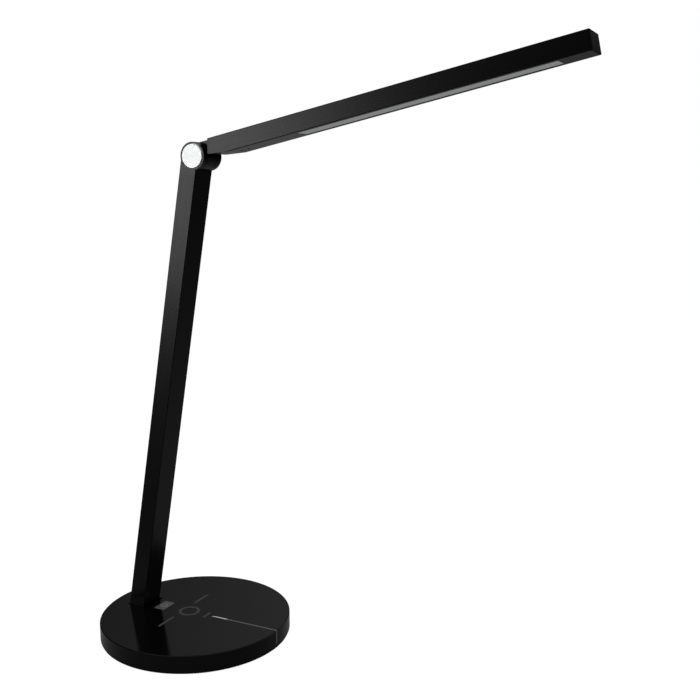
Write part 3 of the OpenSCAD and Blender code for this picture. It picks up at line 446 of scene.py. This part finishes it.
def guide_strip():
    """A flat section with a crowned outer face, carried along the top, round the rim's corner and down the
    wall: each point is the path plus its normal times the section's height, and y is the place across."""
    bend = 0.7
    a = np.linspace(math.pi / 2, 0, 7)
    x = np.concatenate([np.linspace(guide_x0, rim_x - bend, 16)[:-1], rim_x - bend + bend * np.cos(a),
                        np.full(5, rim_x)])
    z = np.concatenate([np.full(15, top_z), top_z - bend + bend * np.sin(a),
                        np.linspace(top_z - bend, guide_foot, 6)[1:]])
    nx = np.concatenate([np.zeros(15), np.cos(a), np.ones(5)])
    nz = np.concatenate([np.ones(15), np.sin(a), np.zeros(5)])
    v = np.concatenate([across, [1, 1, -1, -1]]) * guide_w / 2
    h = np.concatenate([0.05 * (1 - across ** 2) - 0.02 * across ** 6, [-0.3, -guide_t, -guide_t, -0.3]])
    keep = np.ones(len(x))
    keep[[0, -1]] = 0
    depth = keep[:, None] * h + (1 - keep[:, None]) * -0.5
    across_guide = keep[:, None] * v
    points = np.stack([x[:, None] + nx[:, None] * depth, across_guide, z[:, None] + nz[:, None] * depth], -1)
    return points.reshape(-1, 3), woven(len(x), len(v))


leg_points, leg_faces = cushion(leg_l, guide_w, 0.3, leg_low, top_z - 0.9, 0, 0.1)
make_piece("guide_strip", [guide_strip(), (leg_points + (leg_middle, 0, 0), leg_faces)], guide_acrylic,
           "base", "guide_acrylic", "indicator_light_guide")

# Indicator LED and the LEDs of the light bar: white LEDs, a blue chip under yellow phosphor in a moulded
# white cup, soldered to their boards.
# Phosphor in silicone: pale yellow to cream all over each LED, with a mottle 0.4 mm across.
phosphor, tree, place = new_finish("led_phosphor_potted")
grain = add(tree, "ShaderNodeTexNoise", {"Vector": place, "Scale": 1 / 0.0004, "Detail": 2.0})
tint = add(tree, "ShaderNodeMix", {0: grain.outputs["Fac"], 6: srgb("#efd98c"), 7: srgb("#f3edd6")},
           data_type="RGBA")
skin = add(tree, "ShaderNodeBsdfPrincipled", {"Base Color": tint.outputs[2], "Roughness": 0.35, "IOR": 1.41})
add(tree, "ShaderNodeOutputMaterial", {"Surface": skin.outputs["BSDF"]})
wear(phosphor, "indicator_led", "leds")

# Stem: a flat rectangular tube of extruded aluminium with softly rounded edges, screwed onto castings at its
# foot and its head. It is black anodised after cutting.
# Black anodised aluminium: near black and satin, with fine draw lines along the tube 0.25 mm apart, drawn at
# 0.5 mm, and an even, slightly open matt grain from etching.
stem_lean, pivot = math.radians(10.2), np.array((-63.276, 0, 9.75))
anodised, tree, place = new_finish("aluminium_black_anodised_stem")
own = add(tree, "ShaderNodeMapping", {"Vector": place, "Rotation": (0, stem_lean, 0),
                                      "Scale": (0.0005, 0.0005, 0.25)}, vector_type="TEXTURE")
draw = add(tree, "ShaderNodeTexNoise", {"Vector": own.outputs["Vector"], "Scale": 1.0, "Detail": 3.0})
etch = add(tree, "ShaderNodeTexNoise", {"Vector": place, "Scale": 1 / 0.0004, "Detail": 1.0})
tint = add(tree, "ShaderNodeMix", {0: draw.outputs["Fac"], 6: srgb("#020203"), 7: srgb("#050506")},
           data_type="RGBA")
sheen = add(tree, "ShaderNodeMapRange", {"Value": draw.outputs["Fac"], "To Min": 0.24, "To Max": 0.31})
relief = add(tree, "ShaderNodeBump", {"Height": etch.outputs["Fac"], "Distance": 0.00001, "Strength": 0.25})
skin = add(tree, "ShaderNodeBsdfPrincipled", {"Base Color": tint.outputs[2],
                                              "Roughness": sheen.outputs["Result"],
                                              "IOR": 1.5, "Specular IOR Level": 0.24,
                                              "Normal": relief.outputs["Normal"]})
add(tree, "ShaderNodeOutputMaterial", {"Surface": skin.outputs["BSDF"]})
wear(anodised, "stem_tube")

# Castings: the stem's foot, its forked head and the light bar's knuckle are die cast in aluminium, machined
# at the bores and faces that run, and powder coated black to match the tubes.
# Powder coat: satin black with a very soft orange peel, 2.5 mm from crest to crest.
coated, tree, place = new_finish("die_cast_powder_coated")
peel = add(tree, "ShaderNodeTexNoise", {"Vector": place, "Scale": 1 / 0.0025, "Detail": 2.0})
tint = add(tree, "ShaderNodeMix", {0: peel.outputs["Fac"], 6: srgb("#020203"), 7: srgb("#050506")},
           data_type="RGBA")
sheen = add(tree, "ShaderNodeMapRange", {"Value": peel.outputs["Fac"], "To Min": 0.24, "To Max": 0.3})
relief = add(tree, "ShaderNodeBump", {"Height": peel.outputs["Fac"], "Distance": 0.00003, "Strength": 0.2})
skin = add(tree, "ShaderNodeBsdfPrincipled", {"Base Color": tint.outputs[2],
                                              "Roughness": sheen.outputs["Result"],
                                              "IOR": 1.5, "Specular IOR Level": 0.25,
                                              "Normal": relief.outputs["Normal"]})
add(tree, "ShaderNodeOutputMaterial", {"Surface": skin.outputs["BSDF"]})
wear(coated, "stem_foot", "stem_yoke", "bar_knuckle")

# Stem screws: two countersunk steel screws with a six-sided socket, one at each casting, driven from behind
# through the tube's rear wall. They and the light bar's set screws are blackened in hot oxide.
# Black oxide: very dark metal, slightly brown, with a rubbed bloom 1 mm wide.
screw_r, screw_head, screw_len, hex_flat, hex_deep = 1.5, 1.5, 7.0, 0.95, 1.1
screw_places, stem_half = (19.0, 417.773), 8.65
oxide, tree, place = new_finish("steel_black_oxide")
rubbed = add(tree, "ShaderNodeTexNoise", {"Vector": place, "Scale": 1 / 0.001, "Detail": 3.0})
tint = add(tree, "ShaderNodeMix", {0: rubbed.outputs["Fac"], 6: srgb("#161514"), 7: srgb("#2e2b29")},
           data_type="RGBA")
skin = add(tree, "ShaderNodeBsdfPrincipled", {"Base Color": tint.outputs[2], "Metallic": 1.0,
                                              "Roughness": 0.42})
add(tree, "ShaderNodeOutputMaterial", {"Surface": skin.outputs["BSDF"]})


def socket_screw(steps=48):
    """A turned screw whose inner rings follow a hexagon: their radius at angle t is the half flat over the
    cosine of t's distance from the middle of its side. Height runs from the head's face into the work."""
    t = np.arange(steps) * 2 * math.pi / steps
    hexagon = hex_flat / np.cos((t + math.pi / 6) % (math.pi / 3) - math.pi / 6)
    rings = [(0, 1.6 * hex_deep, 0), (0.6, hex_deep, 1), (1, hex_deep, 1), (1, 0.08, 1), (1.1, 0.0, 1),
             (screw_r + screw_head - 0.12, 0.0, 0), (screw_r + screw_head, 0.1, 0), (screw_r, screw_head, 0),
             (screw_r, screw_len - 0.4, 0), (screw_r - 0.4, screw_len, 0), (0, screw_len, 0)]
    r = np.array([size * (hexagon if six else np.ones(steps)) for size, _, six in rings])
    z = np.array([height for _, height, _ in rings])[:, None]
    points = np.stack([r * np.cos(t), r * np.sin(t), z + 0 * t], -1).reshape(-1, 3)
    return points, woven(len(rings), steps)


stem_up = np.array((math.sin(stem_lean), 0, math.cos(stem_lean)))
stem_front = np.array((math.cos(stem_lean), 0, -math.sin(stem_lean)))
make_piece("stem_socket_screws",
           [pointing(socket_screw(), pivot + h * stem_up - (stem_half - 0.02) * stem_front, stem_front)
            for h in screw_places], oxide, "stem", "dark_screw", "stem_screws")
wear(oxide, "bar_set_screws")

# Leads: the stretch of a two-core lead inside the stem's tube, and the one that runs along the light bar to
# the LED board. Both are sheathed in soft white PVC.
# PVC sheath: off-white and slightly glossy, with an extruder's faint ripple every 2 mm.
pvc, tree, place = new_finish("pvc_sheath_extruded")
ripple = add(tree, "ShaderNodeTexNoise", {"Vector": place, "Scale": 1 / 0.002, "Detail": 1.0})
tint = add(tree, "ShaderNodeMix", {0: ripple.outputs["Fac"], 6: srgb("#d2d1cc"), 7: srgb("#dedcd6")},
           data_type="RGBA")
relief = add(tree, "ShaderNodeBump", {"Height": ripple.outputs["Fac"], "Distance": 0.0001, "Strength": 0.3})
skin = add(tree, "ShaderNodeBsdfPrincipled", {"Base Color": tint.outputs[2], "Roughness": 0.4, "IOR": 1.53,
                                              "Normal": relief.outputs["Normal"]})
add(tree, "ShaderNodeOutputMaterial", {"Surface": skin.outputs["BSDF"]})
wear(pvc, "stem_lead", "bar_lead")

# Hinge caps: two discs of aluminium that hide the hinge bolt and its nut. Each is turned, leaving fine rings
# on its face, bright anodised, and pressed into the cheek by the skirt behind it.
# Turned bright aluminium: pale silver with rings 0.3 mm apart, cut here as real grooves at 0.6 mm, and a
# satin sheen.
hinge = np.array((20.310, 0, 453.128))
cap_r, cap_face_r, cheek_y, cap_t, ring_pitch = 11.2, 10.2, 14.0, 0.5, 0.6
skirt_r, skirt_in, skirt_y = 7.35, 6.4, 10.6
face_sink, face_dish, groove_half = 0.05, 0.03, 0.012
turned_aluminium, tree, place = new_finish("aluminium_turned_bright")
own = add(tree, "ShaderNodeVectorMath", {0: place, 1: tuple(hinge * MM)}, operation="SUBTRACT")
flat = add(tree, "ShaderNodeVectorMath", {0: own.outputs["Vector"], 1: (1, 0, 1)}, operation="MULTIPLY")
out = add(tree, "ShaderNodeVectorMath", {0: flat.outputs["Vector"]}, operation="LENGTH")
rings = add(tree, "ShaderNodeTexNoise", {"W": out.outputs["Value"], "Scale": 1 / 0.0006, "Detail": 2.0},
            noise_dimensions="1D")
tint = add(tree, "ShaderNodeMix", {0: rings.outputs["Fac"], 6: srgb("#c2c3c4"), 7: srgb("#d8d9d9")},
           data_type="RGBA")
sheen = add(tree, "ShaderNodeMapRange", {"Value": rings.outputs["Fac"], "To Min": 0.3, "To Max": 0.42})
skin = add(tree, "ShaderNodeBsdfPrincipled", {"Base Color": tint.outputs[2], "Metallic": 1.0,
                                              "Roughness": sheen.outputs["Result"]})
add(tree, "ShaderNodeOutputMaterial", {"Surface": skin.outputs["BSDF"]})


def hinge_disc():
    """Profile turned about the hinge axis, as (radius, distance out along the axis): a face with cosine
    grooves, slightly dished to the middle, a bevel rounded into a bead at its start, and the skirt behind."""
    outer = cheek_y + cap_t
    r = np.linspace(0, cap_face_r - 0.15, 104)
    grooves = groove_half * (1 + np.cos(2 * math.pi * r / ring_pitch))
    face = outer - face_sink + face_dish * (r / cap_r) ** 2 - grooves
    bevel = [(cap_face_r, outer - 0.01), (cap_face_r + 0.15, outer - 0.06), (cap_r - 0.06, cheek_y + 0.08)]
    back = [(cap_r, cheek_y), (skirt_r, cheek_y), (skirt_r, skirt_y), (skirt_in, skirt_y),
            (skirt_in, cheek_y - 0.05), (0, cheek_y - 0.05)]
    return turned([*zip(r, face), *bevel, *back], 120)


make_piece("cap_disc_near", [pointing(hinge_disc(), hinge, (0, -1, 0))], turned_aluminium, "stem",
           "silver_cap", "hinge_cap_near")
make_piece("cap_disc_far", [pointing(hinge_disc(), hinge, (0, 1, 0))], turned_aluminium, "stem", "silver_cap",
           "hinge_cap_far")

# Light bar: an extruded aluminium channel, black anodised like the stem, with the light window milled in its
# underside and a relief under its rear end. It slides over the knuckle's spigot and two set screws hold it.
# Black anodised aluminium again, with the draw lines turned along the bar.
bar_rise = math.radians(11.8)
anodised_bar, tree, place = new_finish("aluminium_black_anodised_bar")
own = add(tree, "ShaderNodeMapping", {"Vector": place, "Rotation": (0, -bar_rise, 0),
                                      "Scale": (0.25, 0.0005, 0.0005)}, vector_type="TEXTURE")
draw = add(tree, "ShaderNodeTexNoise", {"Vector": own.outputs["Vector"], "Scale": 1.0, "Detail": 3.0})
etch = add(tree, "ShaderNodeTexNoise", {"Vector": place, "Scale": 1 / 0.0004, "Detail": 1.0})
tint = add(tree, "ShaderNodeMix", {0: draw.outputs["Fac"], 6: srgb("#020203"), 7: srgb("#050506")},
           data_type="RGBA")
sheen = add(tree, "ShaderNodeMapRange", {"Value": draw.outputs["Fac"], "To Min": 0.24, "To Max": 0.31})
relief = add(tree, "ShaderNodeBump", {"Height": etch.outputs["Fac"], "Distance": 0.00001, "Strength": 0.25})
skin = add(tree, "ShaderNodeBsdfPrincipled", {"Base Color": tint.outputs[2],
                                              "Roughness": sheen.outputs["Result"],
                                              "IOR": 1.5, "Specular IOR Level": 0.28,
                                              "Normal": relief.outputs["Normal"]})
add(tree, "ShaderNodeOutputMaterial", {"Surface": skin.outputs["BSDF"]})
wear(anodised_bar, "bar_housing")

# Tip cap: a moulded ABS plug with chamfered edges that closes the end of the light bar and snaps inside it.
# Moulded ABS, textured a little coarser than the base: grain of 0.2 mm, drawn at 0.4 mm.
abs_tip, tree, place = new_finish("abs_moulded_tip")
grain = add(tree, "ShaderNodeTexNoise", {"Vector": place, "Scale": 1 / 0.0004, "Detail": 2.0})
tint = add(tree, "ShaderNodeMix", {0: grain.outputs["Fac"], 6: srgb("#020203"), 7: srgb("#050506")},
           data_type="RGBA")
relief = add(tree, "ShaderNodeBump", {"Height": grain.outputs["Fac"], "Distance": 0.00001, "Strength": 0.3})
skin = add(tree, "ShaderNodeBsdfPrincipled", {"Base Color": tint.outputs[2], "Roughness": 0.34, "IOR": 1.5,
                                              "Specular IOR Level": 0.15, "Normal": relief.outputs["Normal"]})
add(tree, "ShaderNodeOutputMaterial", {"Surface": skin.outputs["BSDF"]})
wear(abs_tip, "bar_tip_cap")

# LED board: a strip of aluminium-backed laminate under white solder mask, glued under the channel's roof so
# that the bar takes its heat. Forty LEDs are soldered along it.
# White solder mask: bright, slightly glossy, with pale copper tracks showing every 6 mm.
white_mask, tree, place = new_finish("aluminium_board_white_mask")
own = add(tree, "ShaderNodeMapping", {"Vector": place, "Rotation": (0, -bar_rise, 0)}, vector_type="TEXTURE")
tracks = add(tree, "ShaderNodeTexBrick", {"Vector": own.outputs["Vector"], "Scale": 1.0, "Brick Width": 0.006,
                                          "Row Height": 0.003, "Mortar Size": 0.0004,
                                          "Color1": srgb("#e9e9e5"), "Color2": srgb("#e4e4e0"),
                                          "Mortar": srgb("#d5cfc2")})
skin = add(tree, "ShaderNodeBsdfPrincipled", {"Base Color": tracks.outputs["Color"], "Roughness": 0.42})
add(tree, "ShaderNodeOutputMaterial", {"Surface": skin.outputs["BSDF"]})
wear(white_mask, "led_board")

# Reflector tray: a long white trough, moulded in polycarbonate filled with titanium white, that stands round
# the LEDs and throws their light down onto the diffuser.
# Filled polycarbonate: soft matt white with a faint mottle 3 mm wide.
tray_white, tree, place = new_finish("polycarbonate_white_moulded")
mottle = add(tree, "ShaderNodeTexNoise", {"Vector": place, "Scale": 1 / 0.003, "Detail": 2.0})
tint = add(tree, "ShaderNodeMix", {0: mottle.outputs["Fac"], 6: srgb("#ececea"), 7: srgb("#f4f4f2")},
           data_type="RGBA")
skin = add(tree, "ShaderNodeBsdfPrincipled", {"Base Color": tint.outputs[2], "Roughness": 0.6, "IOR": 1.58})
add(tree, "ShaderNodeOutputMaterial", {"Surface": skin.outputs["BSDF"]})
wear(tray_white, "reflector_tray")

# Diffuser: a strip of opal acrylic, extruded and cut, whose raised face fills the light window from inside. A
# flange all round holds it against the channel's floor.
# Opal acrylic, unlit: even pale grey, with a fine frosting, 0.15 mm, drawn at 0.5 mm, and faint flow lines
# along the strip.
window_x0, window_x1, lens_w, lens_z, lens_t = 103.5, 328.4, 19.3, -4.25, 1.45
flange_over, flange_w, flange_z = 6.1, 25.0, -3.2
opal, tree, place = new_finish("acrylic_opal_extruded")
own = add(tree, "ShaderNodeMapping", {"Vector": place, "Rotation": (0, -bar_rise, 0),
                                      "Scale": (0.12, 0.0012, 0.0012)}, vector_type="TEXTURE")
flow = add(tree, "ShaderNodeTexNoise", {"Vector": own.outputs["Vector"], "Scale": 1.0, "Detail": 2.0})
frost = add(tree, "ShaderNodeTexNoise", {"Vector": place, "Scale": 1 / 0.0005, "Detail": 2.0})
tint = add(tree, "ShaderNodeMix", {0: flow.outputs["Fac"], 6: srgb("#a4a5a6"), 7: srgb("#b0b1b2")},
           data_type="RGBA")
relief = add(tree, "ShaderNodeBump", {"Height": frost.outputs["Fac"], "Distance": 0.00004, "Strength": 0.3})
skin = add(tree, "ShaderNodeBsdfPrincipled", {"Base Color": tint.outputs[2], "Roughness": 0.5, "IOR": 1.49,
                                              "Specular IOR Level": 0.15, "Normal": relief.outputs["Normal"]})
add(tree, "ShaderNodeOutputMaterial", {"Surface": skin.outputs["BSDF"]})
bar_turn = np.array(((math.cos(bar_rise), 0, -math.sin(bar_rise)), (0, 1, 0),
                     (math.sin(bar_rise), 0, math.cos(bar_rise))))
lens_l = window_x1 - window_x0
lens_parts = [cushion(lens_l, lens_w, 0.6, lens_z + lens_t, lens_z, -0.05, 0.3),
              cushion(lens_l + 2 * flange_over, flange_w, 0.6, flange_z + 1, flange_z, 0, 0.1)]
make_piece("diffuser_lens", [((p + ((window_x0 + window_x1) / 2, 0, 0)) @ bar_turn.T + hinge, f)
                             for p, f in lens_parts], opal, "light_bar", "diffuser_opal", "diffuser")

# The studio: a pale floor that keeps the lamp's shadow, one softbox three metres off at the near left, level
# with the hinge, and a wide dim one overhead. None of it is part of the lamp.
# Seamless paper: gloss sees a painted reflection light on it that fades towards the right and the front, so
# it
#  shows darker there; the camera sees it white.
floor_mesh = bpy.data.meshes.new("studio_floor")
floor_mesh.from_pydata([(-4, -4, 0), (4, -4, 0), (4, 4, 0), (-4, 4, 0)], [], [(0, 1, 2, 3)])
floor = bpy.data.objects.new("studio_floor", floor_mesh)
bpy.context.collection.objects.link(floor)
paper, tree, place = new_finish("studio_paper_white")
rays = add(tree, "ShaderNodeLightPath")
fibre = add(tree, "ShaderNodeTexNoise", {"Vector": place, "Scale": 1 / 0.004, "Detail": 3.0})
tint = add(tree, "ShaderNodeMix", {0: fibre.outputs["Fac"], 6: srgb("#5c5c5c"), 7: srgb("#646464")},
           data_type="RGBA")
matt = add(tree, "ShaderNodeBsdfDiffuse", {"Color": tint.outputs[2]})
# Painted reflection light, seen only by gloss: it fades towards the right and drops to a twentieth in front
# of y = -0.2 m.
rightward = add(tree, "ShaderNodeVectorMath", {0: place, 1: (1, 0.2, 0)}, operation="DOT_PRODUCT")
fading = add(tree, "ShaderNodeMapRange", {"Value": rightward.outputs["Value"], "From Min": -0.5,
                                          "From Max": 0.9, "To Min": 0.16, "To Max": 0.0})
axes = add(tree, "ShaderNodeSeparateXYZ", {"Vector": place})
behind = add(tree, "ShaderNodeMapRange", {"Value": axes.outputs["Y"], "From Min": -0.2, "From Max": -0.11,
                                          "To Min": 0.05, "To Max": 1.0})
painted_gloss_light = add(tree, "ShaderNodeMath", {0: fading.outputs["Result"], 1: behind.outputs["Result"]},
          operation="MULTIPLY")
mirrored = add(tree, "ShaderNodeMath", {0: rays.outputs["Is Glossy Ray"],
                                        1: rays.outputs["Is Transmission Ray"]},
               operation="MAXIMUM")
mirrored = add(tree, "ShaderNodeMath", {0: mirrored.outputs["Value"], 1: painted_gloss_light.outputs["Value"]},
               operation="MULTIPLY")
direct = add(tree, "ShaderNodeMath", {0: rays.outputs["Is Camera Ray"], 1: 0.96}, operation="MULTIPLY")
bounced = add(tree, "ShaderNodeMath", {0: rays.outputs["Is Diffuse Ray"], 1: 0.7}, operation="MULTIPLY")
lift = add(tree, "ShaderNodeMath", {0: direct.outputs["Value"], 1: mirrored.outputs["Value"]},
           operation="MAXIMUM")
lift = add(tree, "ShaderNodeMath", {0: lift.outputs["Value"], 1: bounced.outputs["Value"]},
           operation="MAXIMUM")
pale = add(tree, "ShaderNodeEmission", {"Color": (1, 1, 1, 1), "Strength": lift.outputs["Value"]})
both = add(tree, "ShaderNodeAddShader", {0: matt.outputs["BSDF"], 1: pale.outputs["Emission"]})
add(tree, "ShaderNodeOutputMaterial", {"Surface": both.outputs["Shader"]})
floor_mesh.materials.append(paper)

# The world is white to the camera and through glass. Gloss sees a studio that is dark near the horizon and
# grows pale overhead, from the left to the right.
world = bpy.data.worlds.new("studio")
bpy.context.scene.world = world
world.use_nodes = True
tree = world.node_tree
tree.nodes.clear()
rays = add(tree, "ShaderNodeLightPath")
towards = add(tree, "ShaderNodeTexCoord").outputs["Generated"]
axes = add(tree, "ShaderNodeSeparateXYZ", {"Vector": towards})
overhead = add(tree, "ShaderNodeMapRange", {"Value": axes.outputs["Z"], "From Min": 0.2, "From Max": 0.55,
                                            "To Min": 0.01, "To Max": 0.55})
sideways = add(tree, "ShaderNodeMapRange", {"Value": axes.outputs["X"], "From Min": -0.75, "From Max": -0.35,
                                            "To Min": 0.05, "To Max": 1.0})
studio_gloss = add(tree, "ShaderNodeMath", {0: overhead.outputs["Result"], 1: sideways.outputs["Result"]},
                   operation="MULTIPLY")
mirrored = add(tree, "ShaderNodeMath", {0: rays.outputs["Is Glossy Ray"], 1: studio_gloss.outputs["Value"]},
               operation="MULTIPLY")
direct = add(tree, "ShaderNodeMath", {0: rays.outputs["Is Camera Ray"],
                                      1: rays.outputs["Is Transmission Ray"]},
             operation="MAXIMUM")
white = add(tree, "ShaderNodeMath", {0: mirrored.outputs["Value"], 1: direct.outputs["Value"]},
            operation="MAXIMUM")
plain = add(tree, "ShaderNodeMath", {0: rays.outputs["Is Diffuse Ray"], 1: 0.45}, operation="MULTIPLY")
level = add(tree, "ShaderNodeMath", {0: white.outputs["Value"], 1: plain.outputs["Value"]},
            operation="MAXIMUM")
sky = add(tree, "ShaderNodeBackground", {"Color": (1, 1, 1, 1), "Strength": level.outputs["Value"]})
add(tree, "ShaderNodeOutputWorld", {"Surface": sky.outputs["Background"]})


def softbox(name, place, aim, width, height, power):
    """A rectangular lamp of this width and height in metres, standing at place and facing aim."""
    made = bpy.data.objects.new(name, bpy.data.lights.new(name, "AREA"))
    made.data.shape = "RECTANGLE"
    made.data.size, made.data.size_y, made.data.energy = width, height, power
    made.location = place
    made.rotation_mode = "QUATERNION"
    made.rotation_quaternion = (Vector(aim) - Vector(place)).to_track_quat("-Z", "Y")
    bpy.context.collection.objects.link(made)


softbox("softbox_near_left", (-1.71, -2.48, 0.515), (0.02, 0, 0.40), 0.9, 0.87, 13.5)
softbox("softbox_overhead", (0.1, 0.2, 1.9), (0.1, 0, 0), 1.4, 1.4, 14.0)
bpy.context.scene.view_settings.view_transform = "Standard"
